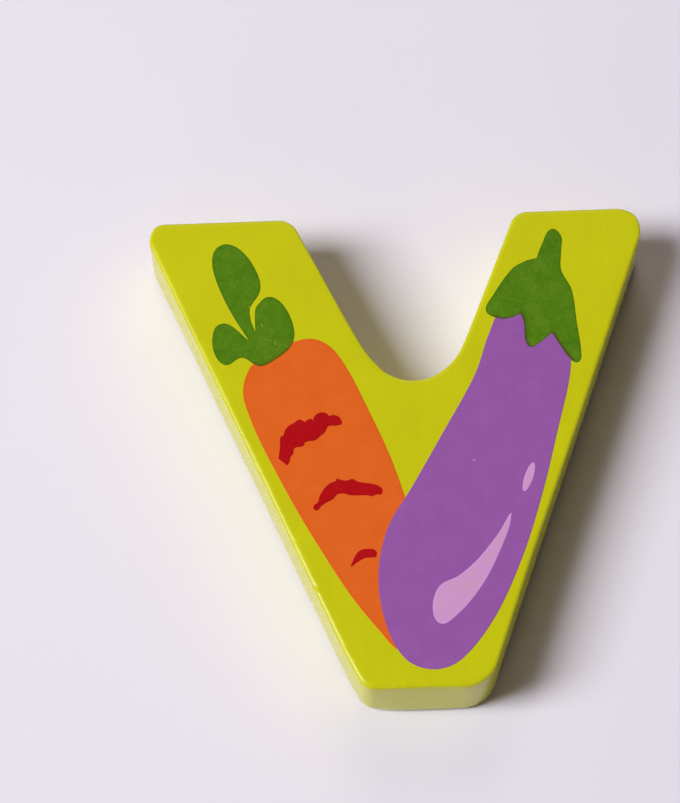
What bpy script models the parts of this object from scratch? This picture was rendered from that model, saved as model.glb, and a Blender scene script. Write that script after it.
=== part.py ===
"""Wooden letter V with a printed carrot and aubergine, lying on its back on adhesive foam pads.

Frame: +X is the letter's right, +Y its top and +Z its front. The origin is the middle of its footprint,
on the pads' sticky faces. Sizes below are in millimetres and the model is in metres.
"""
import math

import bmesh
import bpy
from mathutils import Vector
from mathutils.geometry import interpolate_bezier

MM = 0.001

# Letter blank. Spans are between the outline's sharp corners, before they are rounded.
LETTER_HEIGHT = 84.0
BOARD_THICKNESS = 15.0
TOP_SPAN = 88.4
FOOT_WIDTH = 21.2
FOOT_SHIFT = 1.9            # the foot's middle lies this far right of the top's middle
LEFT_ARM_TOP = 26.2         # width of the left arm's top edge
RIGHT_ARM_TOP = 23.5
NOTCH_SHIFT = 2.9           # the notch's point lies this far right of the top's middle
NOTCH_POINT_HEIGHT = 41.4   # height of the notch's sharp point above the foot
LEFT_OUTER_RADIUS = 3.2
LEFT_INNER_RADIUS = 3.6
NOTCH_RADIUS = 8.9
RIGHT_INNER_RADIUS = 3.2
RIGHT_OUTER_RADIUS = 4.3
FOOT_RIGHT_RADIUS = 6.2
FOOT_LEFT_RADIUS = 2.8
RIM_ROUND = 0.9             # rounding of the front and back edges
RIM_STEPS = 4
ARC_STEP_DEG = 11.0
RIM_ANGLE_DEG = 60.0        # only edges that turn more than this are rims
SHARP_EDGE_DEG = 35.0

# Adhesive foam pads. Each lies along its stroke of the letter.
PAD_THICKNESS = 1.0
PAD_WIDTH = 12.0
PAD_LENGTH = 22.0
PAD_CORNER_RADIUS = 1.5
ARM_PAD_DOWN = 24.0         # middle of an arm's pad, along the outer edge from the top corner
FOOT_PAD_UP = 15.0          # middle of the foot's pad above the foot

# Print. Points are (across, down): across is the distance from the arm's outer edge, and down is the
# distance along that edge from the arm's top corner. They are drawn for arms of the artwork's width and
# length, and the print stretches with the arm that it is on. SHARP marks a point where the outline turns a
# corner.
LEFT_ARTWORK_WIDTH = 24.1
LEFT_ARTWORK_LENGTH = 91.2
RIGHT_ARTWORK_WIDTH = 22.0
RIGHT_ARTWORK_LENGTH = 89.8
INK_THICKNESS = 0.1
INK_GAP = 0.1               # between two inks that meet
CURVE_STEPS = 5
SHARP = True
CARROT_ROOT = [
    (3.9, 34.8), (7.7, 31.3), (13.6, 30.8), (18.5, 31.8), (21.0, 35.9), (21.6, 47.2), (21.1, 60.2),
    (18.3, 75.0), (11.2, 89.6), (6.4, 80.9), (3.7, 64.0), (2.7, 48.7), (2.8, 40.0),
]
CARROT_LEAVES = [
    (12.1, 9.7), (14.1, 12.3), (14.7, 17.1), (13.8, 20.0), (11.0, 22.1), (10.2, 24.1),
    (10.0, 26.4, SHARP), (11.1, 23.8), (12.1, 22.3), (14.8, 21.6), (16.4, 24.2), (16.2, 28.8),
    (14.5, 31.3), (11.1, 32.4), (8.1, 32.4), (6.0, 29.7), (2.9, 29.7), (2.1, 26.6), (4.0, 22.9),
    (6.2, 23.0), (8.3, 27.3, SHARP), (7.6, 20.2), (8.0, 13.4), (9.6, 10.1),
]
AUBERGINE_BODY = [
    (19.3, 30.8), (19.3, 38.7), (21.2, 50.2), (23.2, 61.2), (24.8, 69.3), (23.6, 77.8), (19.5, 85.6),
    (14.5, 89.9), (9.6, 89.9), (6.0, 86.9), (3.0, 78.5), (1.8, 67.5), (1.9, 56.7), (2.9, 43.9),
    (4.3, 32.0), (7.7, 24.3), (12.8, 20.9), (18.2, 23.5),
]
AUBERGINE_CALYX = [
    (15.0, 9.4), (13.0, 10.1), (12.2, 12.5), (11.1, 16.0), (8.3, 18.9), (5.8, 24.0), (3.1, 29.8),
    (3.4, 31.2), (5.0, 30.8), (7.6, 28.8), (9.1, 27.5, SHARP), (10.4, 29.6), (11.8, 31.1), (13.0, 30.3),
    (14.3, 27.2), (15.3, 25.9, SHARP), (16.6, 27.1), (18.9, 27.9), (21.1, 27.2), (20.8, 24.2),
    (19.2, 18.6), (17.4, 16.4), (15.8, 15.3, SHARP), (15.7, 12.8),
]
HIGHLIGHT_LONG = [
    (5.8, 60.3), (6.9, 64.2), (8.7, 69.4), (10.9, 73.3), (13.4, 76.1), (13.3, 80.1), (11.2, 82.2),
    (9.1, 80.0), (6.9, 74.6), (5.8, 68.6),
]
HIGHLIGHT_SHORT_MIDDLE = (5.05, 53.2)
HIGHLIGHT_SHORT_WIDTH = 1.5
HIGHLIGHT_SHORT_LENGTH = 5.4

# Creases of the carrot, with the ragged edges that a dry brush leaves
CREASE_UPPER = [
    (4.1, 48.7, SHARP), (5.0, 47.3), (5.6, 46.1), (6.1, 45.3), (6.6, 45.3), (7.2, 44.6), (8.2, 44.1),
    (9.3, 44.0), (10.0, 43.8), (10.5, 44.0), (10.9, 44.6, SHARP), (12.0, 44.5), (12.3, 44.9, SHARP),
    (12.8, 44.4), (13.9, 44.2), (14.8, 44.7), (15.1, 45.4, SHARP), (15.9, 45.6), (16.5, 46.2), (16.7, 47.0),
    (16.4, 47.7), (15.3, 47.5), (14.2, 47.1), (13.3, 47.8), (12.3, 48.1), (11.2, 48.4), (9.5, 48.0),
    (8.9, 48.5), (7.4, 48.2), (6.8, 49.0), (6.2, 49.3), (5.7, 50.0), (5.0, 50.5, SHARP),
]
CREASE_MIDDLE = [
    (5.8, 59.3), (6.2, 58.6), (6.9, 58.5), (7.8, 57.5), (9.0, 56.7), (10.2, 56.3), (11.3, 56.3), (11.6, 56.0),
    (12.1, 56.5), (13.1, 57.1), (14.0, 57.2), (14.5, 57.9), (15.4, 58.6), (16.5, 59.3), (17.4, 60.1),
    (17.8, 61.0), (17.2, 61.8), (16.6, 61.5), (15.6, 61.4), (15.1, 61.0), (13.8, 60.4), (12.4, 59.7),
    (11.4, 58.9), (10.4, 58.7), (9.6, 59.1), (8.2, 59.2), (7.2, 59.4), (6.3, 59.8),
]
CREASE_LOWER = [
    (7.2, 71.0), (8.0, 70.2), (8.7, 69.6), (9.4, 69.2), (10.3, 69.1), (11.2, 69.4), (12.0, 69.9),
    (12.3, 70.5), (12.1, 71.0), (11.7, 71.3), (10.9, 71.0), (10.0, 70.7), (8.8, 70.8), (7.4, 71.1),
]
CREASE_STEPS = 3

PAINT = {
    "lime_paint": ((196, 198, 22), 0.35),
    "orange_ink": ((229, 106, 39), 0.45),
    "dark_red_ink": ((174, 13, 19), 0.5),
    "green_ink": ((80, 126, 23), 0.5),
    "purple_ink": ((147, 87, 159), 0.42),
    "lilac_ink": ((202, 150, 196), 0.45),
    "white_foam": ((232, 231, 226), 0.9),
}


def clear_scene():
    """Remove every object of the scene."""
    for item in list(bpy.data.objects):
        bpy.data.objects.remove(item, do_unlink=True)


def linear(channel):
    """Linear value of an 8-bit display colour channel."""
    value = channel / 255
    if value <= 0.04045:
        return value / 12.92
    return ((value + 0.055) / 1.055) ** 2.4


def make_material(name):
    """Principled material of one paint, ink or foam."""
    colour, roughness = PAINT[name]
    material = bpy.data.materials.new(name)
    material.use_nodes = True
    shader = material.node_tree.nodes["Principled BSDF"]
    shader.inputs["Base Color"].default_value = (*[linear(channel) for channel in colour], 1)
    shader.inputs["Roughness"].default_value = roughness
    shader.inputs["Metallic"].default_value = 0
    return material


def letter_corners():
    """Sharp corners of the outline with their radii, clockwise from the left arm's outer top corner."""
    half_height = LETTER_HEIGHT / 2
    half_span = TOP_SPAN / 2
    half_foot = FOOT_WIDTH / 2
    return [
        (Vector((-half_span, half_height)), LEFT_OUTER_RADIUS),
        (Vector((-half_span + LEFT_ARM_TOP, half_height)), LEFT_INNER_RADIUS),
        (Vector((NOTCH_SHIFT, NOTCH_POINT_HEIGHT - half_height)), NOTCH_RADIUS),
        (Vector((half_span - RIGHT_ARM_TOP, half_height)), RIGHT_INNER_RADIUS),
        (Vector((half_span, half_height)), RIGHT_OUTER_RADIUS),
        (Vector((FOOT_SHIFT + half_foot, -half_height)), FOOT_RIGHT_RADIUS),
        (Vector((FOOT_SHIFT - half_foot, -half_height)), FOOT_LEFT_RADIUS),
    ]


def rounded_polygon(corners):
    """Outline of a polygon whose corners, (point, radius), are replaced by arcs."""
    outline = []
    for index, (corner, radius) in enumerate(corners):
        back = (corners[index - 1][0] - corner).normalized()
        ahead = (corners[(index + 1) % len(corners)][0] - corner).normalized()
        half_angle = back.angle(ahead) / 2
        centre = corner + (back + ahead).normalized() * radius / math.sin(half_angle)
        start = corner + back * radius / math.tan(half_angle) - centre
        turn = start.angle_signed(corner + ahead * radius / math.tan(half_angle) - centre)
        steps = max(2, round(abs(math.degrees(turn)) / ARC_STEP_DEG))
        for step in range(steps + 1):
            angle = -turn * step / steps
            swing = Vector((
                start.x * math.cos(angle) - start.y * math.sin(angle),
                start.x * math.sin(angle) + start.y * math.cos(angle),
            ))
            outline.append(centre + swing)
    return outline


def left_of(direction):
    """Direction turned a quarter turn to the left, of length 1."""
    return Vector((-direction.y, direction.x)).normalized()


class Arm:
    """An arm's own frame: across from its outer edge, and down along that edge from its top corner."""

    def __init__(self, top, foot, inward_side, top_width, artwork_width, artwork_length):
        edge = foot - top
        self.top = top
        self.down = edge.normalized()
        self.inward = left_of(self.down) * inward_side
        self.width = top_width * abs(self.inward.x)
        self.across_stretch = self.width / artwork_width
        self.down_stretch = edge.length / artwork_length

    def place(self, across, down):
        """The letter's (x, y) for a point of the arm."""
        return self.top + self.inward * across + self.down * down

    def print_at(self, across, down):
        """The letter's (x, y) for a point of the artwork."""
        return self.place(across * self.across_stretch, down * self.down_stretch)


def curve_span(knots, index, sharp, steps):
    """Points of a smooth curve from one knot up to the next, without the last one."""
    here, there = knots[index], knots[index + 1]
    span = there - here
    leave = span if sharp[index] else there - knots[index - 1]
    arrive = span if sharp[index + 1] else knots[index + 2] - here
    reach = span.length / 3
    start_handle = here + leave.normalized() * reach
    end_handle = there - arrive.normalized() * reach
    return interpolate_bezier(here, start_handle, end_handle, there, steps + 1)[:-1]


def smooth_loop(points, arm, steps=CURVE_STEPS):
    """Closed curve through points of an arm, smooth but for those marked SHARP."""
    count = len(points)
    wrapped = points[-1:] + points + points[:2]
    knots = [arm.print_at(*point[:2]) for point in wrapped]
    sharp = [len(point) > 2 for point in wrapped]
    outline = []
    for index in range(1, count + 1):
        outline.extend(curve_span(knots, index, sharp, steps))
    return outline


def ellipse(middle, width, length, arm):
    """Outline of an ellipse whose length runs down the arm."""
    steps = 4 * CURVE_STEPS
    outline = []
    for step in range(steps):
        angle = 2 * math.pi * step / steps
        across = middle[0] + width / 2 * math.cos(angle)
        down = middle[1] + length / 2 * math.sin(angle)
        outline.append(arm.print_at(across, down))
    return outline


def rounded_rectangle(middle, lengthwise, width, length, radius):
    """Outline of a rectangle whose length follows a direction."""
    along = lengthwise.normalized() * length / 2
    aside = left_of(lengthwise) * width / 2
    corners = [
        middle + along + aside, middle + along - aside,
        middle - along - aside, middle - along + aside,
    ]
    return rounded_polygon([(corner, radius) for corner in corners])


def grown(outline, gap):
    """Outline moved outwards by a small gap."""
    count = len(outline)
    twice_area = sum(outline[index - 1].cross(outline[index]) for index in range(count))
    outward = -1 if twice_area > 0 else 1
    moved = []
    for index, point in enumerate(outline):
        tangent = outline[(index + 1) % count] - outline[index - 1]
        moved.append(point + left_of(tangent) * gap * outward)
    return moved


def make_plate(name, outline, base, thickness, parent, material=None):
    """Flat solid with the given outline, its underside at the height base."""
    builder = bmesh.new()
    ring = [builder.verts.new((point.x * MM, point.y * MM, 0)) for point in outline]
    underside = builder.faces.new(ring)
    raised = bmesh.ops.extrude_face_region(builder, geom=[underside])["geom"]
    top_verts = [item for item in raised if isinstance(item, bmesh.types.BMVert)]
    bmesh.ops.translate(builder, vec=(0, 0, thickness * MM), verts=top_verts)
    bmesh.ops.recalc_face_normals(builder, faces=builder.faces)
    mesh = bpy.data.meshes.new(name)
    builder.to_mesh(mesh)
    builder.free()
    if material:
        mesh.materials.append(material)
    mesh.shade_smooth()
    mesh.set_sharp_from_angle(angle=math.radians(SHARP_EDGE_DEG))
    plate = bpy.data.objects.new(name, mesh)
    plate.location.z = base * MM
    plate.parent = parent
    bpy.context.collection.objects.link(plate)
    return plate


def knock_out(plate, base, outline):
    """Cut another ink's outline, with the gap that inks keep, out of a printed plate."""
    name = plate.name + "_cutter"
    window = grown(outline, INK_GAP)
    cutter = make_plate(name, window, base - INK_THICKNESS, 3 * INK_THICKNESS, plate.parent)
    cutter.hide_render = True
    cutter.display_type = "WIRE"
    cut = plate.modifiers.new("knockout", "BOOLEAN")
    cut.operation = "DIFFERENCE"
    cut.solver = "EXACT"
    cut.object = cutter


def build_blank(outline, letter, paint):
    """The sawn board, with its front and back edges rounded."""
    blank = make_plate("letter_blank", outline, PAD_THICKNESS, BOARD_THICKNESS, letter, paint["lime_paint"])
    rim = blank.modifiers.new("rounded_rims", "BEVEL")
    rim.width = RIM_ROUND * MM
    rim.segments = RIM_STEPS
    rim.limit_method = "ANGLE"
    rim.angle_limit = math.radians(RIM_ANGLE_DEG)


def build_pads(left_arm, right_arm, letter, paint):
    """Foam pads between the letter's back and what it is stuck to."""
    foot_middle = Vector((FOOT_SHIFT, FOOT_PAD_UP - LETTER_HEIGHT / 2))
    places = {
        "left_arm_pad": (left_arm.place(left_arm.width / 2, ARM_PAD_DOWN), left_arm.down),
        "right_arm_pad": (right_arm.place(right_arm.width / 2, ARM_PAD_DOWN), right_arm.down),
        "foot_pad": (foot_middle, Vector((1, 0))),
    }
    for name, (middle, lengthwise) in places.items():
        outline = rounded_rectangle(middle, lengthwise, PAD_WIDTH, PAD_LENGTH, PAD_CORNER_RADIUS)
        make_plate(name, outline, 0, PAD_THICKNESS, letter, paint["white_foam"])


def build_print(left_arm, right_arm, letter, paint):
    """The carrot on the left arm and the aubergine on the right one, in two layers of ink."""
    first = PAD_THICKNESS + BOARD_THICKNESS
    second = first + INK_THICKNESS
    leaves = smooth_loop(CARROT_LEAVES, left_arm)
    body = smooth_loop(AUBERGINE_BODY, right_arm)
    calyx = smooth_loop(AUBERGINE_CALYX, right_arm)
    inks = {
        "carrot_root": (smooth_loop(CARROT_ROOT, left_arm), first, "orange_ink"),
        "carrot_leaves": (leaves, first, "green_ink"),
        "carrot_crease_upper": (smooth_loop(CREASE_UPPER, left_arm, CREASE_STEPS), second, "dark_red_ink"),
        "carrot_crease_middle": (smooth_loop(CREASE_MIDDLE, left_arm, CREASE_STEPS), second, "dark_red_ink"),
        "carrot_crease_lower": (smooth_loop(CREASE_LOWER, left_arm, CREASE_STEPS), second, "dark_red_ink"),
        "aubergine_body": (body, first, "purple_ink"),
        "aubergine_calyx": (calyx, first, "green_ink"),
        "aubergine_highlight_long": (smooth_loop(HIGHLIGHT_LONG, right_arm), second, "lilac_ink"),
        "aubergine_highlight_short": (
            ellipse(HIGHLIGHT_SHORT_MIDDLE, HIGHLIGHT_SHORT_WIDTH, HIGHLIGHT_SHORT_LENGTH, right_arm),
            second, "lilac_ink"),
    }
    plates = {}
    for name, (outline, base, ink) in inks.items():
        plates[name] = make_plate(name, outline, base, INK_THICKNESS, letter, paint[ink])
    knock_out(plates["carrot_root"], first, leaves)
    knock_out(plates["carrot_root"], first, body)
    knock_out(plates["aubergine_body"], first, calyx)


def main():
    """Build the letter around an empty that stands at the middle of its footprint."""
    clear_scene()
    paint = {name: make_material(name) for name in PAINT}
    corners = letter_corners()
    outline = rounded_polygon(corners)
    reach = [point.x for point in outline]
    letter = bpy.data.objects.new("wooden_letter", None)
    letter.location.x = -(min(reach) + max(reach)) / 2 * MM
    bpy.context.collection.objects.link(letter)
    left_top, *_, right_top, foot_right, foot_left = [point for point, radius in corners]
    left_arm = Arm(left_top, foot_left, 1, LEFT_ARM_TOP, LEFT_ARTWORK_WIDTH, LEFT_ARTWORK_LENGTH)
    right_arm = Arm(right_top, foot_right, -1, RIGHT_ARM_TOP, RIGHT_ARTWORK_WIDTH, RIGHT_ARTWORK_LENGTH)
    build_blank(outline, letter, paint)
    build_pads(left_arm, right_arm, letter, paint)
    build_print(left_arm, right_arm, letter, paint)


main()
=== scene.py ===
"""Looks of the wooden letter V: satin paint, screen print and foam pads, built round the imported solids.

The frame is the part's own: +X is the letter's right, +Y its top and +Z its printed front. Shapes are worked
out in millimetres from outlines cut through the solids, and become metres when their meshes are made. The
stage, with its camera and lamps, is in metres.
"""
import math

import bmesh
import bpy
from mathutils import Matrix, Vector
from mathutils.geometry import delaunay_2d_cdt, interpolate_bezier
from mathutils.kdtree import KDTree
from mathutils.noise import noise


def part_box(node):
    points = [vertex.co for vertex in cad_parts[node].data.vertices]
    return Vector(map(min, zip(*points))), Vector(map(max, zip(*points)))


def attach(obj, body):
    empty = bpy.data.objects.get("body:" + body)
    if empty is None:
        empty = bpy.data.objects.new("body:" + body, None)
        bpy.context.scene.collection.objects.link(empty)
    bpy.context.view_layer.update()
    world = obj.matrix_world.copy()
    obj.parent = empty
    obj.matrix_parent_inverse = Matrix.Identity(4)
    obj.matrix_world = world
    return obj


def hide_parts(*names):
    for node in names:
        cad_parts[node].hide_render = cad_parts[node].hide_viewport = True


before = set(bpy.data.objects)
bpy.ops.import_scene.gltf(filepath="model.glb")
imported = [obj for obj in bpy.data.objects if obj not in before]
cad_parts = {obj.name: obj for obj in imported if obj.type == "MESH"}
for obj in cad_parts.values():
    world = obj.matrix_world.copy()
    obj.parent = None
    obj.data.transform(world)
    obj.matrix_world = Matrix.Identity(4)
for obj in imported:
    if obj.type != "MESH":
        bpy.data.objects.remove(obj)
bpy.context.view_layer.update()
MM = 0.001

# Camera, at the photograph's viewing angle
CAMERA_PLACE = (-0.01296, -0.17473, 0.5767)
CAMERA_TURN_DEG = (18.097, 0.402, -1.996)
CAMERA_FOCAL_PX = 3473
IMAGE_HEIGHT_PX = 803
SENSOR_MM = 36

# Stage and light
FLOOR_RADIUS = 0.8
FLOOR_SEGMENTS = 96
FLOOR_DROP = 0.00002        # the floor lies this far under the pads
FLOOR_COLOUR = (239, 236, 249)
FLOOR_CLOUD_MM = 60.0       # size of the faint clouds on the floor
FLOOR_DEPTH_MM = 0.005
FLOOR_ROUGHNESS = (0.55, 0.6)
FLOOR_GLOSS = 0.05
# Lamps: (name, azimuth from the letter's left towards its foot, elevation, distance, size, watts, colour)
LAMPS = [
    ("key_softbox", 9, 51.5, 2.1, (0.63, 1.19), 43.2, (1.0, 1.0, 1.0)),
    ("fill_softbox", -88, 46, 1.0, (0.45, 0.45), 1.5, (1.0, 0.84, 0.74)),
    ("front_softbox", 70, 16, 1.5, (0.6, 0.6), 1.7, (1.0, 0.85, 0.75)),
]
ROOM_LIGHT = 0.054
ROOM_COLOUR = (1.0, 0.76, 0.84)
BACKDROP_COLOUR = (236, 233, 240)   # how the room's walls look to the eye and in reflections
CEILING_SHARE = 0.45                # how bright the ceiling is beside the walls
CEILING_RISES = (0.55, 0.85)        # upward share of a direction where the ceiling starts and is full

# How outlines are read off the solids
WELD_MM = 0.001
STRAIGHT_DEG = 0.1          # a smaller turn is a point along a straight edge
CORNER_DEG = 35             # a larger turn is a corner that stays sharp
LONG_EDGE_RATIO = 3         # an edge this much longer than its neighbour is straight
FILL_WHOLE_HULL = 0         # triangles are made over the whole hull and sorted afterwards
FILL_PRECISION_MM = 1e-6    # points nearer than this are one point when an area is filled

# Letter
LETTER_STEP_MM = 0.25
RIM_MM = 0.9                # width of the rounding of the front and back edges
RIM_DROP_SHARE = 0.5        # its depth down the walls, as a share of its width
RIM_STEPS = 8
RIM_FOOT_SHARE = 0.3        # the foot's rims are rounder by this share, and the top's sharper
RIM_RIGHT_SHARE = 0.4       # the rims that face right are sharper by this share
RIM_VARIES = 0.12           # share by which sanding varies the rounding
RIM_VARIES_OVER_MM = (6.0, 1.6)
RIM_FLAT_MM = 0.3           # flat strip inside the rounding, where its shading runs out
WALL_STEPS = 8
WALL_LEAN_MM = 0.1          # how far the walls lean in from back to front
WALL_WAVE_MM = 0.012        # depth of the waves that sanding leaves on the walls
WALL_WAVE_OVER_MM = 9.0
# Places where hand sanding left the outline a little off: (place, reach, push at the front and at the back)
SANDED_MM = [
    ((-8.8, -42.0), 4.0, (0.3, 0.22), (0.35, 0.45)),        # foot's left corner
    ((1.5, -42.0), 9.0, (0.0, 0.28), (0.0, -0.1)),          # foot
    ((20.5, -20.0), 14.0, (-0.16, 0.06), (0.0, 0.0)),       # right outer edge, near the foot
    ((34.0, 15.0), 14.0, (0.02, -0.01), (0.04, -0.01)),     # right outer edge, on the arm
    ((-14.0, -29.4), 15.0, (-0.04, -0.02), (0.12, 0.05)),   # left outer edge, from foot to arm
    ((-24.7, -4.2), 15.0, (0.02, 0.01), (0.12, 0.05)),
    ((-35.3, 21.0), 15.0, (-0.05, -0.02), (0.12, 0.05)),
    ((-9.0, 23.7), 9.0, (-0.12, -0.06), (0.0, 0.0)),        # left arm's inner edge
    ((-4.4, 15.4), 2.5, (0.22, 0.2), (0.22, 0.2)),          # notch, left
    ((8.8, 14.8), 4.0, (-0.17, 0.19), (-0.17, 0.19)),       # notch, right
    ((41.6, 40.6), 2.0, (0.18, 0.18), (0.18, 0.18)),        # right arm's outer corner
    ((-41.2, 41.2), 1.4, (-0.13, 0.18), (-0.13, 0.18)),     # left arm's outer corner
]
# Marks on the front rim: (x, y, radius, height), a drop of paint or, with a negative height, a nick
RIM_MARKS_MM = [
    (-2.9, -42.0, 0.4, 0.1), (-2.2, -42.0, 0.35, -0.08), (-1.6, -42.0, 0.4, 0.09), (2.3, -42.0, 0.5, 0.07),
    (4.3, -42.0, 0.4, 0.05), (0.6, -42.0, 0.55, -0.05), (-16.3, -23.9, 0.5, -0.07),
    (-15.8, -25.0, 0.45, 0.05), (-11.5, -35.1, 0.45, 0.04), (-10.7, -37.0, 0.4, -0.04),
    (-19.6, -15.9, 0.45, -0.03),
]

# Print
PRINT_STEP_MM = 0.25
PRINT_GRID_MM = 1.5
PRINT_GRID_CLEAR = 0.25     # clear space round the rings of points, as a share of the grid's step
PRINT_RINGS_MM = (0.04, 0.12, 0.3, 0.5, 0.8)
PRINT_RING_LEAST = 0.9      # a ring's point nearer to an edge than this share of its ring is left out
PRINT_EDGE_MM = 0.12        # width of the film's rounded edge
PRINT_RIM_MM = 0.4          # width of the rim where the squeezed ink is deeper in colour
PRINT_NEAR_MM = 0.16        # inks whose outlines are nearer than this meet
PRINT_TRAP_MM = 0.35        # an ink runs this far under the one printed over it
OVERLAP_MM = 0.75           # width of the darker edge where an ink lies on another
# Directions in which the green prints are out of register with the colours under them
LEAF_TOWARDS = (0.1, -1.0)
CALYX_TOWARDS = (-0.8, -0.6)
OVERLAP_LEAST = 0.2         # share of the darker edge's width on the far side
PRINT_STEP_SHARE = 0.1      # share of a film's thickness that stands at its very edge
ORANGE_MM, PURPLE_MM, GREEN_MM, RED_MM, LILAC_MM = 0.012, 0.018, 0.025, 0.025, 0.028
# Gaps that the screen left in the leaves, as lines: (start, end, width)
LEAF_GAPS_MM = [
    ((-23.75, 23.3), (-23.15, 22.2), 0.08), ((-22.4, 20.8), (-21.8, 20.4), 0.05),
    ((-21.45, 20.0), (-21.1, 18.9), 0.08), ((-21.1, 18.4), (-20.9, 17.95), 0.08),
    ((-25.5, 26.2), (-25.4, 25.9), 0.2),
]
GAP_STEPS = 5
SPECK_PLACE_MM = (11.8, -2.7)
SPECK_RADIUS_MM = 0.32
SPECK_STEPS = 16

# Foam pads
FOAM_STEP_MM = 0.2
FOAM_LEVELS = 9
FOAM_PORE_MM = 0.28
FOAM_PORE_DEPTH_MM = 0.07
FOAM_ROUND_MM = 0.06
FOAM_ROUND_POWER = 6        # how tightly the foam's edges are rounded
FOAM_CELL_MM = 0.22
FOAM_CELL_DEPTH_MM = 0.05
FOAM_ROUGHNESS = (0.75, 0.95)
# The first of these colours is painted shade: the pits of the foam's cells are coloured darker than their
# walls
FOAM_PIT_PAINTED_SHADE, FOAM_WALL = (205, 203, 196), (238, 237, 232)

# Lime paint, with colours as 8-bit display values
LIME_DEEP, LIME_PALE = (200, 200, 7), (206, 208, 9)
# The wall colour on the next line is painted light: a tint, a little warmer and paler than the front, that
# stands in for the floor's light on the walls
LIME_GRAIN, LIME_GRIT, LIME_WALL_PAINTED_LIGHT = (196, 194, 16), (215, 217, 25), (204, 203, 14)
LIME_CLOUD_MM, LIME_GRAIN_MM, LIME_GRIT_MM, LIME_PEEL_MM = 9.0, 1.1, 0.5, 0.9
LIME_GRAIN_STRETCH = (1, 0.05, 1)   # the grain runs along the letter's height
LIME_GRAIN_SHARE, LIME_GRIT_SHARE = 0.3, 0.15
LIME_GRAIN_DEPTH_MM, LIME_PEEL_DEPTH_MM = 0.002, 0.005
LIME_ROUGHNESS = (0.21, 0.265)
LIME_GLOSS = 0.21

# Inks
INK_CLOUD_MM, INK_GRIT_MM, INK_TOOTH_MM = 4.0, 0.45, 0.3
INK_TOOTH_DEPTH_MM = 0.003
INK_ROUGHNESS_SPREAD = (-0.01, 0.06)
INK_GLOSS = 0.08


def linear(colour):
    """Linear RGBA of an 8-bit display colour."""
    channels = []
    for channel in colour:
        share = channel / 255
        channels.append(share / 12.92 if share <= 0.04045 else ((share + 0.055) / 1.055) ** 2.4)
    return (*channels, 1)


def walk_round(edges):
    """Vertices of a closed loop of edges, in order."""
    neighbours = {}
    for edge in edges:
        first, second = edge.verts
        neighbours.setdefault(first, []).append(second)
        neighbours.setdefault(second, []).append(first)
    start = edges[0].verts[0]
    walk = [start, neighbours[start][0]]
    while True:
        ahead = [vert for vert in neighbours[walk[-1]] if vert != walk[-2]][0]
        if ahead == start:
            return walk
        walk.append(ahead)


def section(node):
    """Anticlockwise outline of a CAD node at half its height, with no points along straight edges."""
    low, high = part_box(node)
    builder = bmesh.new()
    builder.from_mesh(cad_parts[node].data)
    bmesh.ops.remove_doubles(builder, verts=builder.verts, dist=WELD_MM * MM)
    everything = builder.verts[:] + builder.edges[:] + builder.faces[:]
    cut = bmesh.ops.bisect_plane(builder, geom=everything, plane_co=(low + high) / 2, plane_no=(0, 0, 1))
    edges = [item for item in cut["geom_cut"] if isinstance(item, bmesh.types.BMEdge)]
    outline = [vert.co.xy / MM for vert in walk_round(edges)]
    builder.free()
    if sum(outline[index - 1].cross(outline[index]) for index in range(len(outline))) < 0:
        outline.reverse()
    count = len(outline)
    turns = [turn_at(outline, index) for index in range(count)]
    return [outline[index] for index in range(count) if abs(turns[index]) > math.radians(STRAIGHT_DEG)]


def turn_at(outline, index):
    """Angle by which a closed outline turns at a point."""
    before = outline[index] - outline[index - 1]
    after = outline[(index + 1) % len(outline)] - outline[index]
    return math.atan2(before.cross(after), before.dot(after))


def tangents_at(outline, index):
    """Directions in which a smooth curve arrives at and leaves a point of an outline."""
    before = outline[index] - outline[index - 1]
    after = outline[(index + 1) % len(outline)] - outline[index]
    if abs(turn_at(outline, index)) > math.radians(CORNER_DEG):
        return before.normalized(), after.normalized()
    if after.length > LONG_EDGE_RATIO * before.length:
        both = after
    elif before.length > LONG_EDGE_RATIO * after.length:
        both = before
    else:
        both = before.normalized() * after.length + after.normalized() * before.length
    return both.normalized(), both.normalized()


def smoothed(outline, step):
    """Closed outline with its facets rounded into curves, and points at most a step apart."""
    count = len(outline)
    tangents = [tangents_at(outline, index) for index in range(count)]
    points = []
    for index, here in enumerate(outline):
        there = outline[(index + 1) % count]
        length = (there - here).length
        start_handle = here + tangents[index][1] * length / 3
        end_handle = there - tangents[(index + 1) % count][0] * length / 3
        pieces = math.ceil(length / step)
        points.extend(interpolate_bezier(here, start_handle, end_handle, there, pieces + 1)[:-1])
    return points


def outward_normals(outline):
    """Unit normals that point out of an anticlockwise outline."""
    count = len(outline)
    normals = []
    for index in range(count):
        along = outline[(index + 1) % count] - outline[index - 1]
        normals.append(Vector((along.y, -along.x)).normalized())
    return normals


def fill(loops, loose=()):
    """Points and triangles of the area inside the first loop and outside the others, with loose points."""
    points = [point for loop in loops for point in loop]
    faces = []
    for loop in loops:
        start = sum(len(face) for face in faces)
        faces.append(list(range(start, start + len(loop))))
    made = delaunay_2d_cdt(points + list(loose), [], faces, FILL_WHOLE_HULL, FILL_PRECISION_MM)
    places, triangles, sources = made[0], made[2], made[5]
    return places, [triangle for triangle, inside in zip(triangles, sources) if inside == [0]]


def add_mesh(name, vertices, faces, material):
    """Smooth mesh object from vertices in millimetres."""
    mesh = bpy.data.meshes.new(name)
    mesh.from_pydata([vertex * MM for vertex in vertices], [], faces)
    mesh.validate()
    mesh.materials.append(material)
    mesh.shade_smooth()
    piece = bpy.data.objects.new(name, mesh)
    bpy.context.scene.collection.objects.link(piece)
    return piece


def stand_for(piece, node):
    """Let a piece ride in place of a CAD node, and hide the node."""
    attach(piece, "root")
    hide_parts(node)


def rings_to_faces(ring_count, count):
    """Quads that join rings of vertices, each ring anticlockwise and above the one before."""
    faces = []
    for ring in range(ring_count - 1):
        for index in range(count):
            after = (index + 1) % count
            low, high = ring * count, (ring + 1) * count
            faces.append((low + index, low + after, high + after, high + index))
    return faces


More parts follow.
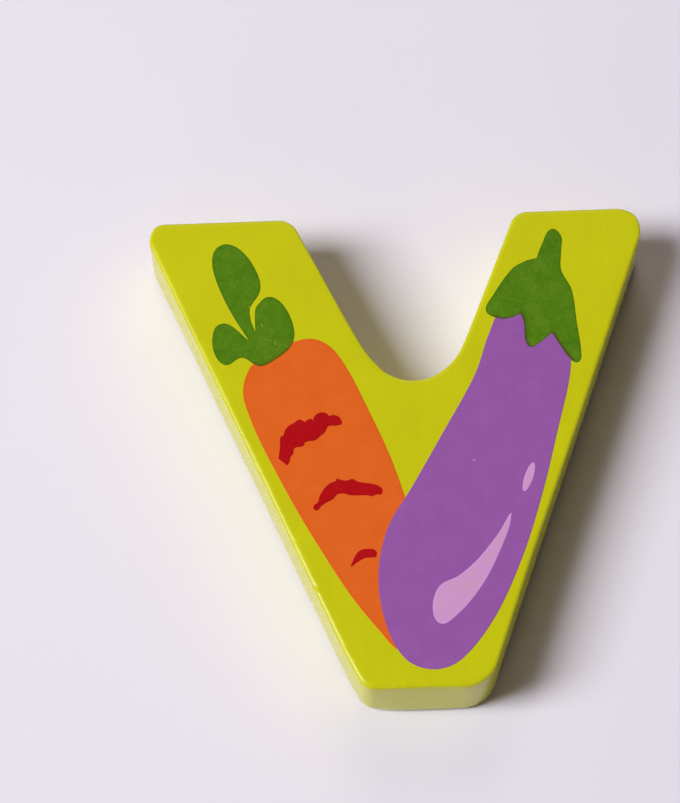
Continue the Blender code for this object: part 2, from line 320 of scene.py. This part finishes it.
def nearness(points):
    """Search tree over points of an outline."""
    tree = KDTree(len(points))
    for index, point in enumerate(points):
        tree.insert(point.to_3d(), index)
    tree.balance()
    return tree


def cap_faces(ring, start, flip):
    """Triangles that close a ring of vertices numbered from start."""
    places, triangles = fill([ring])
    tree = nearness(ring)
    numbers = [start + tree.find(place.to_3d())[1] for place in places]
    order = -1 if flip else 1
    return [tuple(numbers[corner] for corner in triangle)[::order] for triangle in triangles]


def letter_profile(back, front):
    """Stations up the letter's side from back to front: (part, swing from level, height)."""
    swings = [math.pi / 2 * step / RIM_STEPS for step in range(RIM_STEPS + 1)]
    stations = [("back", swing, back) for swing in reversed(swings)]
    wall_low, wall_high = back + RIM_MM, front - RIM_MM
    for step in range(1, WALL_STEPS):
        stations.append(("wall", 0, wall_low + (wall_high - wall_low) * step / WALL_STEPS))
    return stations + [("front", swing, front) for swing in swings]


def sanded(outline, share):
    """Outline pushed a little out of true by hand sanding, at a share of the way from back to front."""
    moved = []
    for point in outline:
        shift = Vector((0, 0))
        for place, reach, front_push, back_push in SANDED_MM:
            away = (point - Vector(place)).length / reach
            shift += Vector(back_push).lerp(Vector(front_push), share) * math.exp(-away * away)
        moved.append(point + shift)
    return moved


def rim_radius(point, normal, height):
    """Rounding of a rim, larger at the foot, smaller where it faces right, and softly uneven."""
    place = Vector((*point, height))
    uneven = sum(noise(place / size) for size in RIM_VARIES_OVER_MM) / len(RIM_VARIES_OVER_MM)
    facing = 1 - RIM_FOOT_SHARE * normal.y - RIM_RIGHT_SHARE * max(0, normal.x)
    return RIM_MM * facing * (1 + RIM_VARIES * uneven)


def rim_mark(point, swing):
    """How far the paint stands out at a place on the front rim."""
    bell = math.sin(2 * swing)
    height = 0
    for x, y, radius, rise in RIM_MARKS_MM:
        away = (point - Vector((x, y))).length / radius
        height += rise * bell * math.exp(-away * away)
    return height


def wall_vertex(point, normal, height, share):
    """Vertex on a wall, moved in or out by the waves that sanding leaves."""
    wave = noise(Vector((*point, height)) / WALL_WAVE_OVER_MM)
    ripple = WALL_WAVE_MM * wave * math.sin(math.pi * share)
    return (point + normal * ripple).to_3d() + Vector((0, 0, height))


def rim_vertex(point, normal, height, swing, part):
    """Vertex on the rounding of the front or the back rim."""
    radius = rim_radius(point, normal, height)
    stand = rim_mark(point, swing) if part == "front" else 0
    inset = radius * (1 - math.cos(swing)) - stand * math.cos(swing)
    drop = RIM_DROP_SHARE * radius * (1 - math.sin(swing)) - stand * math.sin(swing)
    level = height - drop if part == "front" else height + drop
    return (point - normal * inset).to_3d() + Vector((0, 0, level))


def build_letter(material):
    """The painted letter, with softly uneven rims and walls."""
    low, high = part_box("letter_blank")
    back, front = low.z / MM, high.z / MM
    outline = smoothed(section("letter_blank"), LETTER_STEP_MM)
    normals = outward_normals(outline)
    vertices = []
    stations = letter_profile(back, front)
    for part, swing, height in stations:
        share = (height - back) / (front - back)
        for point, normal in zip(sanded(outline, share), normals):
            leaning = point - normal * WALL_LEAN_MM * share
            if part == "wall":
                vertices.append(wall_vertex(leaning, normal, height, share))
            else:
                vertices.append(rim_vertex(leaning, normal, height, swing, part))
    count = len(outline)
    inset = RIM_MM * (1 + RIM_FOOT_SHARE) * (1 + RIM_VARIES) + RIM_FLAT_MM
    inner_back, inner_front = [
        [point - normal * inset for point, normal in zip(sanded(outline, share), normals)] for share in (0, 1)
    ]
    vertices = [point.to_3d() + Vector((0, 0, back)) for point in inner_back] + vertices
    vertices += [point.to_3d() + Vector((0, 0, front)) for point in inner_front]
    ring_count = len(stations) + 2
    faces = rings_to_faces(ring_count, count)
    faces += cap_faces(inner_back, 0, True) + cap_faces(inner_front, (ring_count - 1) * count, False)
    stand_for(add_mesh("painted_letter", vertices, faces, material), "letter_blank")


def meeting(outline, others, towards):
    """Points of an outline that meet another ink, each with how far in from it the two overlap."""
    tree = nearness(others)
    overlaps = []
    for point, normal in zip(outline, outward_normals(outline)):
        if tree.find(point.to_3d())[2] < PRINT_NEAR_MM:
            facing = max(OVERLAP_LEAST, normal.dot(Vector(towards)))
            overlaps.append((point, OVERLAP_MM * facing))
    return overlaps


def run_under(outline, others):
    """Outline carried on under another ink wherever it meets that ink."""
    tree = nearness(others)
    carried = []
    for point in outline:
        nearest, _, distance = tree.find(point.to_3d())
        towards = (nearest.xy - point).normalized()
        carried.append(point + towards * PRINT_TRAP_MM if distance < PRINT_NEAR_MM else point)
    return carried


def gap_loop(start, end, width):
    """Spindle-shaped outline of a gap that the screen left in an ink."""
    start, end = Vector(start), Vector(end)
    aside = Vector((start.y - end.y, end.x - start.x)).normalized() * width / 2
    shares = [step / GAP_STEPS for step in range(1, GAP_STEPS)]
    down = [start.lerp(end, share) - aside * math.sin(math.pi * share) for share in shares]
    back = [start.lerp(end, share) + aside * math.sin(math.pi * share) for share in reversed(shares)]
    return [start] + down + [end] + back


def film_points(loops):
    """Loose points inside a film: rings along its edges, then a grid over the rest."""
    tree = nearness([point for loop in loops for point in smoothed(loop, PRINT_RINGS_MM[0])])
    loose = []
    for number, loop in enumerate(loops):
        inward = 1 if number else -1
        for ring in PRINT_RINGS_MM:
            moved = [point + normal * ring * inward for point, normal in zip(loop, outward_normals(loop))]
            loose += [point for point in moved if tree.find(point.to_3d())[2] > PRINT_RING_LEAST * ring]
    columns, rows = [
        range(math.floor(min(values) / PRINT_GRID_MM), math.ceil(max(values) / PRINT_GRID_MM))
        for values in zip(*loops[0])
    ]
    grid = [Vector((column, row)) * PRINT_GRID_MM for column in columns for row in rows]
    spare = PRINT_RINGS_MM[-1] + PRINT_GRID_MM * PRINT_GRID_CLEAR
    return loose + [point for point in grid if tree.find(point.to_3d())[2] > spare], tree


def in_use(places, triangles):
    """The places that triangles use, and the triangles with their corners numbered anew."""
    used = sorted({corner for triangle in triangles for corner in triangle})
    numbers = {corner: number for number, corner in enumerate(used)}
    renumbered = [[numbers[corner] for corner in triangle] for triangle in triangles]
    return [places[corner].to_3d() for corner in used], renumbered


def plate_faces(triangles, count):
    """Faces of a plate: its underside, its top with numbers a count higher, and the walls between."""
    sides = {(triangle[corner - 1], triangle[corner]) for triangle in triangles for corner in range(3)}
    faces = [triangle[::-1] for triangle in triangles]
    faces += [[corner + count for corner in triangle] for triangle in triangles]
    edges = [(here, there) for here, there in sorted(sides) if (there, here) not in sides]
    return faces + [[here, there, there + count, here + count] for here, there in edges]


def mark(piece, name, values):
    """Store one number for each vertex of a piece."""
    attribute = piece.data.attributes.new(name, "FLOAT", "POINT")
    attribute.data.foreach_set("value", values)


def build_film(name, outline, thickness, material, gaps=(), overlaps=()):
    """Film of ink with a rounded edge on the letter's front, its rim and overlaps marked for its colour."""
    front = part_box("letter_blank")[1].z / MM
    loops = [outline, *gaps]
    loose, tree = film_points(loops)
    plan, triangles = in_use(*fill(loops, loose))
    depths = [tree.find(place)[2] for place in plan]
    slopes = [math.sqrt(1 - max(0, 1 - depth / PRINT_EDGE_MM) ** 2) for depth in depths]
    rises = [thickness * (PRINT_STEP_SHARE + (1 - PRINT_STEP_SHARE) * slope) for slope in slopes]
    vertices = [place + Vector((0, 0, front)) for place in plan]
    vertices += [place + Vector((0, 0, front + rise)) for place, rise in zip(plan, rises)]
    piece = add_mesh(name, vertices, plate_faces(triangles, len(plan)), material)
    mark(piece, "rim", [max(0, 1 - depth / PRINT_RIM_MM) for depth in depths] * 2)
    if overlaps:
        tree = nearness([point for point, reach in overlaps])
        found = [tree.find(place) for place in plan]
        shares = [max(0, 1 - distance / overlaps[index][1]) for _, index, distance in found]
        mark(piece, "overlap", shares * 2)
    return piece


def build_print(inks):
    """The carrot and the aubergine, each ink running a little under the one that was printed over it."""
    names = [
        "carrot_root", "carrot_leaves", "carrot_crease_upper", "carrot_crease_middle", "carrot_crease_lower",
        "aubergine_body", "aubergine_calyx", "aubergine_highlight_long", "aubergine_highlight_short",
    ]
    cut = {name: smoothed(section(name), PRINT_STEP_MM) for name in names}
    leaves, calyx = cut["carrot_leaves"], cut["aubergine_calyx"]
    root = run_under(cut["carrot_root"], leaves + cut["aubergine_body"])
    body = run_under(cut["aubergine_body"], calyx)
    gaps = [gap_loop(*gap) for gap in LEAF_GAPS_MM]
    leaf_overlaps = meeting(leaves, cut["carrot_root"], LEAF_TOWARDS)
    calyx_overlaps = meeting(calyx, cut["aubergine_body"], CALYX_TOWARDS)
    films = {
        "carrot_root": (root, ORANGE_MM, inks["orange"]),
        "aubergine_body": (body, PURPLE_MM, inks["purple"]),
        "carrot_leaves": (leaves, GREEN_MM, inks["leaf"], gaps, leaf_overlaps),
        "aubergine_calyx": (calyx, GREEN_MM, inks["calyx"], (), calyx_overlaps),
    }
    for place in ("upper", "middle", "lower"):
        node = "carrot_crease_" + place
        films[node] = (cut[node], RED_MM, inks["red"])
    for place in ("long", "short"):
        node = "aubergine_highlight_" + place
        films[node] = (cut[node], LILAC_MM, inks["lilac"])
    for node, film in films.items():
        stand_for(build_film(node + "_print", *film), node)
    build_speck(inks["speck"])


def build_speck(material):
    """Small round speck of lilac on the purple."""
    turns = [2 * math.pi * step / SPECK_STEPS for step in range(SPECK_STEPS)]
    centre = Vector(SPECK_PLACE_MM)
    dot = [centre + SPECK_RADIUS_MM * Vector((math.cos(turn), math.sin(turn))) for turn in turns]
    speck = build_film("aubergine_speck_print", dot, LILAC_MM, material)
    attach(speck, "root")


def build_pads(material):
    """Foam pads with cut, porous sides."""
    for name in ("left_arm", "right_arm", "foot"):
        node = name + "_pad"
        low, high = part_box(node)
        outline = smoothed(section(node), FOAM_STEP_MM)
        normals = outward_normals(outline)
        vertices = []
        bottom, height = low.z / MM, (high.z - low.z) / MM
        for level in range(FOAM_LEVELS):
            share = level / (FOAM_LEVELS - 1)
            for point, normal in zip(outline, normals):
                place = Vector((*point, share * height))
                pore = abs(noise(place / FOAM_PORE_MM)) * math.sin(math.pi * share)
                rounding = FOAM_ROUND_MM * abs(2 * share - 1) ** FOAM_ROUND_POWER
                inset = FOAM_PORE_DEPTH_MM * pore + rounding
                vertices.append((point - normal * inset).to_3d() + Vector((0, 0, bottom + share * height)))
        count = len(outline)
        faces = rings_to_faces(FOAM_LEVELS, count)
        edge = [vertex.xy for vertex in vertices[:count]]
        faces += cap_faces(edge, 0, True) + cap_faces(edge, (FOAM_LEVELS - 1) * count, False)
        pad = add_mesh(name + "_foam", vertices, faces, material)
        pad.data.set_sharp_from_angle(angle=math.radians(CORNER_DEG))
        stand_for(pad, node)


class Finish:
    """Node graph of one procedural material, with a Principled shader and places measured in metres."""

    def __init__(self, name):
        self.material = bpy.data.materials.new(name)
        self.material.use_nodes = True
        self.tree = self.material.node_tree
        self.shader = self.tree.nodes["Principled BSDF"]
        self.place = self.add("ShaderNodeTexCoord").outputs["Object"]

    def add(self, kind, inputs=None, **settings):
        """A node with its settings, and its inputs linked or set."""
        made = self.tree.nodes.new(kind)
        for key, value in settings.items():
            setattr(made, key, value)
        for key, value in (inputs or {}).items():
            if isinstance(value, bpy.types.NodeSocket):
                self.tree.links.new(value, made.inputs[key])
            else:
                made.inputs[key].default_value = value
        return made

    def noise(self, size_mm, detail=2.0, stretch=(1, 1, 1), low=0.3, high=0.7):
        """Noise with features of a size, spread to run from 0 to 1."""
        place = self.add("ShaderNodeVectorMath", {0: self.place, 1: stretch}, operation="MULTIPLY")
        scale = 1 / (size_mm * MM)
        inputs = {"Vector": place.outputs[0], "Scale": scale, "Detail": detail}
        spots = self.add("ShaderNodeTexNoise", inputs)
        spread = {"Value": spots.outputs[0], "From Min": low, "From Max": high}
        return self.add("ShaderNodeMapRange", spread).outputs[0]

    def mark(self, name):
        """A number stored on the mesh's vertices."""
        return self.add("ShaderNodeAttribute", attribute_name=name).outputs["Fac"]

    def scale(self, value, factor):
        """A value times a constant."""
        return self.add("ShaderNodeMath", {0: value, 1: factor}, operation="MULTIPLY").outputs[0]

    def blend(self, share, first, second):
        """Colour between two others."""
        made = self.add("ShaderNodeMix", {0: share, 6: first, 7: second}, data_type="RGBA")
        return made.outputs[2]

    def range(self, share, low, high):
        """A share stretched to run between two numbers."""
        return self.add("ShaderNodeMapRange", {"Value": share, "To Min": low, "To Max": high}).outputs[0]

    def steepness(self):
        """1 on the walls, 0 on the level front and back."""
        normal = self.add("ShaderNodeNewGeometry").outputs["Normal"]
        parts = self.add("ShaderNodeSeparateXYZ", {0: normal}).outputs
        level = self.add("ShaderNodeMath", {0: parts["Z"]}, operation="ABSOLUTE").outputs[0]
        return self.range(level, 1, 0)

    def bump(self, height, depth_mm, normal=None):
        """Surface normal roughened by a height of some depth."""
        inputs = {"Height": height, "Distance": depth_mm * MM}
        if normal:
            inputs["Normal"] = normal
        return self.add("ShaderNodeBump", inputs).outputs[0]

    def finish(self, colour, roughness, normal):
        """Link the shader's colour, roughness and normal."""
        for name, source in (("Base Color", colour), ("Roughness", roughness), ("Normal", normal)):
            self.tree.links.new(source, self.shader.inputs[name])
        return self.material


def lime_paint():
    """Satin lime paint, faintly cloudy, with a trace of the wood's grain and of the brush, and with painted
    light on the walls: a slightly warmer, paler tint there.
    """
    paint = Finish("lime_satin_paint")
    cloud = paint.noise(LIME_CLOUD_MM, detail=3.0)
    grain = paint.noise(LIME_GRAIN_MM, detail=4.0, stretch=LIME_GRAIN_STRETCH)
    grit = paint.noise(LIME_GRIT_MM)
    colour = paint.blend(cloud, linear(LIME_DEEP), linear(LIME_PALE))
    colour = paint.blend(paint.scale(grain, LIME_GRAIN_SHARE), colour, linear(LIME_GRAIN))
    colour = paint.blend(paint.scale(grit, LIME_GRIT_SHARE), colour, linear(LIME_GRIT))
    # Painted light: the walls take a tint of their own that stands in for the floor's light on them
    colour = paint.blend(paint.steepness(), colour, linear(LIME_WALL_PAINTED_LIGHT))
    peel = paint.noise(LIME_PEEL_MM, low=0, high=1)
    normal = paint.bump(grain, LIME_GRAIN_DEPTH_MM, paint.bump(peel, LIME_PEEL_DEPTH_MM))
    paint.shader.inputs["Specular IOR Level"].default_value = LIME_GLOSS
    return paint.finish(colour, paint.range(cloud, *LIME_ROUGHNESS), normal)


def ink(name, deep, pale, rim, rim_share, roughness, cloud_mm=INK_CLOUD_MM, overlap=None):
    """Printed ink, finely mottled, with other colours along its squeezed rim and where it lies on an ink."""
    film = Finish(name)
    cloud = film.noise(cloud_mm, detail=3.0)
    grit = film.noise(INK_GRIT_MM)
    share = film.add("ShaderNodeMix", {0: 0.5, 2: cloud, 3: grit}).outputs[0]
    colour = film.blend(share, linear(deep), linear(pale))
    colour = film.blend(film.scale(film.mark("rim"), rim_share), colour, linear(rim))
    if overlap:
        colour = film.blend(film.mark("overlap"), colour, linear(overlap))
    film.shader.inputs["Specular IOR Level"].default_value = INK_GLOSS
    tooth = film.noise(INK_TOOTH_MM, low=0, high=1)
    sheen = film.range(cloud, *[roughness + spread for spread in INK_ROUGHNESS_SPREAD])
    return film.finish(colour, sheen, film.bump(tooth, INK_TOOTH_DEPTH_MM))


def make_inks():
    """The inks of the print. The green darkens to brown over orange and to a near black over purple."""
    green = ((66, 117, 11), (97, 139, 25), (68, 108, 9), 0.6, 0.32, 2.5)
    return {
        "orange": ink("orange_screen_ink", (226, 101, 32), (233, 108, 37), (227, 86, 26), 0.5, 0.3),
        "red": ink("dark_red_screen_ink", (174, 9, 18), (186, 14, 22), (166, 5, 12), 0.4, 0.32),
        "leaf": ink("green_leaf_ink", *green, (96, 84, 14)),
        "calyx": ink("green_calyx_ink", *green, (74, 60, 34)),
        "purple": ink("purple_screen_ink", (149, 88, 167), (157, 96, 175), (146, 87, 160), 0.3, 0.3),
        "lilac": ink("lilac_screen_ink", (213, 157, 219), (210, 161, 197), (216, 157, 230), 0.8, 0.32, 2.5),
        "speck": ink("thin_lilac_ink", (192, 131, 208), (196, 135, 212), (168, 106, 186), 1.0, 0.32),
    }


def foam():
    """White closed-cell foam, with the cut cells of its sides and painted shade that darkens the cells' pits.
    """
    pad = Finish("white_foam_cells")
    spots = pad.add("ShaderNodeTexVoronoi", {"Vector": pad.place, "Scale": 1 / (FOAM_CELL_MM * MM)})
    cells = spots.outputs["Distance"]
    # Painted shade: each cell is coloured darker towards its sunken middle
    colour = pad.blend(cells, linear(FOAM_PIT_PAINTED_SHADE), linear(FOAM_WALL))
    return pad.finish(colour, pad.range(cells, *FOAM_ROUGHNESS), pad.bump(cells, FOAM_CELL_DEPTH_MM))


def build_floor():
    """Plain pale floor under the pads."""
    builder = bmesh.new()
    bmesh.ops.create_circle(builder, cap_ends=True, radius=FLOOR_RADIUS, segments=FLOOR_SEGMENTS)
    mesh = bpy.data.meshes.new("floor")
    builder.to_mesh(mesh)
    builder.free()
    matt = Finish("pale_floor")
    matt.shader.inputs["Specular IOR Level"].default_value = FLOOR_GLOSS
    cloud = matt.noise(FLOOR_CLOUD_MM)
    colour = matt.blend(cloud, linear([channel - 1 for channel in FLOOR_COLOUR]), linear(FLOOR_COLOUR))
    roughness = matt.range(cloud, *FLOOR_ROUGHNESS)
    mesh.materials.append(matt.finish(colour, roughness, matt.bump(cloud, FLOOR_DEPTH_MM)))
    floor = bpy.data.objects.new("floor", mesh)
    floor.location.z = -FLOOR_DROP
    bpy.context.scene.collection.objects.link(floor)


def add_lamp(name, azimuth, elevation, distance, size, watts, colour):
    """Rectangular lamp that faces the letter."""
    lamp = bpy.data.lights.new(name, "AREA")
    lamp.shape = "RECTANGLE"
    lamp.size, lamp.size_y = size
    lamp.energy = watts
    lamp.color = colour
    turn, rise = math.radians(azimuth), math.radians(elevation)
    away = Vector((-math.cos(turn) * math.cos(rise), -math.sin(turn) * math.cos(rise), math.sin(rise)))
    holder = bpy.data.objects.new(name, lamp)
    holder.location = away * distance
    holder.rotation_euler = away.to_track_quat("Z", "Y").to_euler()
    bpy.context.scene.collection.objects.link(holder)


def add_room():
    """World that gives a little light, and that looks pale to the camera and in reflections."""
    world = bpy.data.worlds.new("room")
    world.use_nodes = True
    nodes, links = world.node_tree.nodes, world.node_tree.links
    light = nodes["Background"]
    light.inputs["Color"].default_value = (*ROOM_COLOUR, 1)
    light.inputs["Strength"].default_value = ROOM_LIGHT
    backdrop = nodes.new("ShaderNodeBackground")
    backdrop.inputs["Color"].default_value = linear(BACKDROP_COLOUR)
    parts = nodes.new("ShaderNodeSeparateXYZ")
    links.new(nodes.new("ShaderNodeTexCoord").outputs["Generated"], parts.inputs[0])
    ceiling = nodes.new("ShaderNodeMapRange")
    for name, value in zip(("From Min", "From Max", "To Min", "To Max"), (*CEILING_RISES, 1, CEILING_SHARE)):
        ceiling.inputs[name].default_value = value
    links.new(parts.outputs["Z"], ceiling.inputs["Value"])
    links.new(ceiling.outputs[0], backdrop.inputs["Strength"])
    rays = nodes.new("ShaderNodeLightPath").outputs
    seen = rays["Is Camera Ray"]
    for name in ("Is Glossy Ray", "Is Transmission Ray"):
        either = nodes.new("ShaderNodeMath")
        either.operation = "MAXIMUM"
        links.new(seen, either.inputs[0])
        links.new(rays[name], either.inputs[1])
        seen = either.outputs[0]
    choice = nodes.new("ShaderNodeMixShader")
    links.new(seen, choice.inputs[0])
    links.new(light.outputs[0], choice.inputs[1])
    links.new(backdrop.outputs[0], choice.inputs[2])
    links.new(choice.outputs[0], nodes["World Output"].inputs["Surface"])
    bpy.context.scene.world = world


def add_light():
    """A soft lamp from the letter's left, weak ones from its top and its foot, and a little room light."""
    for lamp in LAMPS:
        add_lamp(*lamp)
    add_room()


def add_camera():
    """Camera at the photograph's viewing angle."""
    lens = bpy.data.cameras.new("camera")
    lens.sensor_width = SENSOR_MM
    lens.lens = CAMERA_FOCAL_PX / IMAGE_HEIGHT_PX * SENSOR_MM
    camera = bpy.data.objects.new("camera", lens)
    camera.location = CAMERA_PLACE
    camera.rotation_euler = [math.radians(angle) for angle in CAMERA_TURN_DEG]
    bpy.context.scene.collection.objects.link(camera)
    bpy.context.scene.camera = camera


build_letter(lime_paint())
build_print(make_inks())
build_pads(foam())
build_floor()
add_light()
add_camera()
bpy.context.scene.view_settings.view_transform = "Standard"
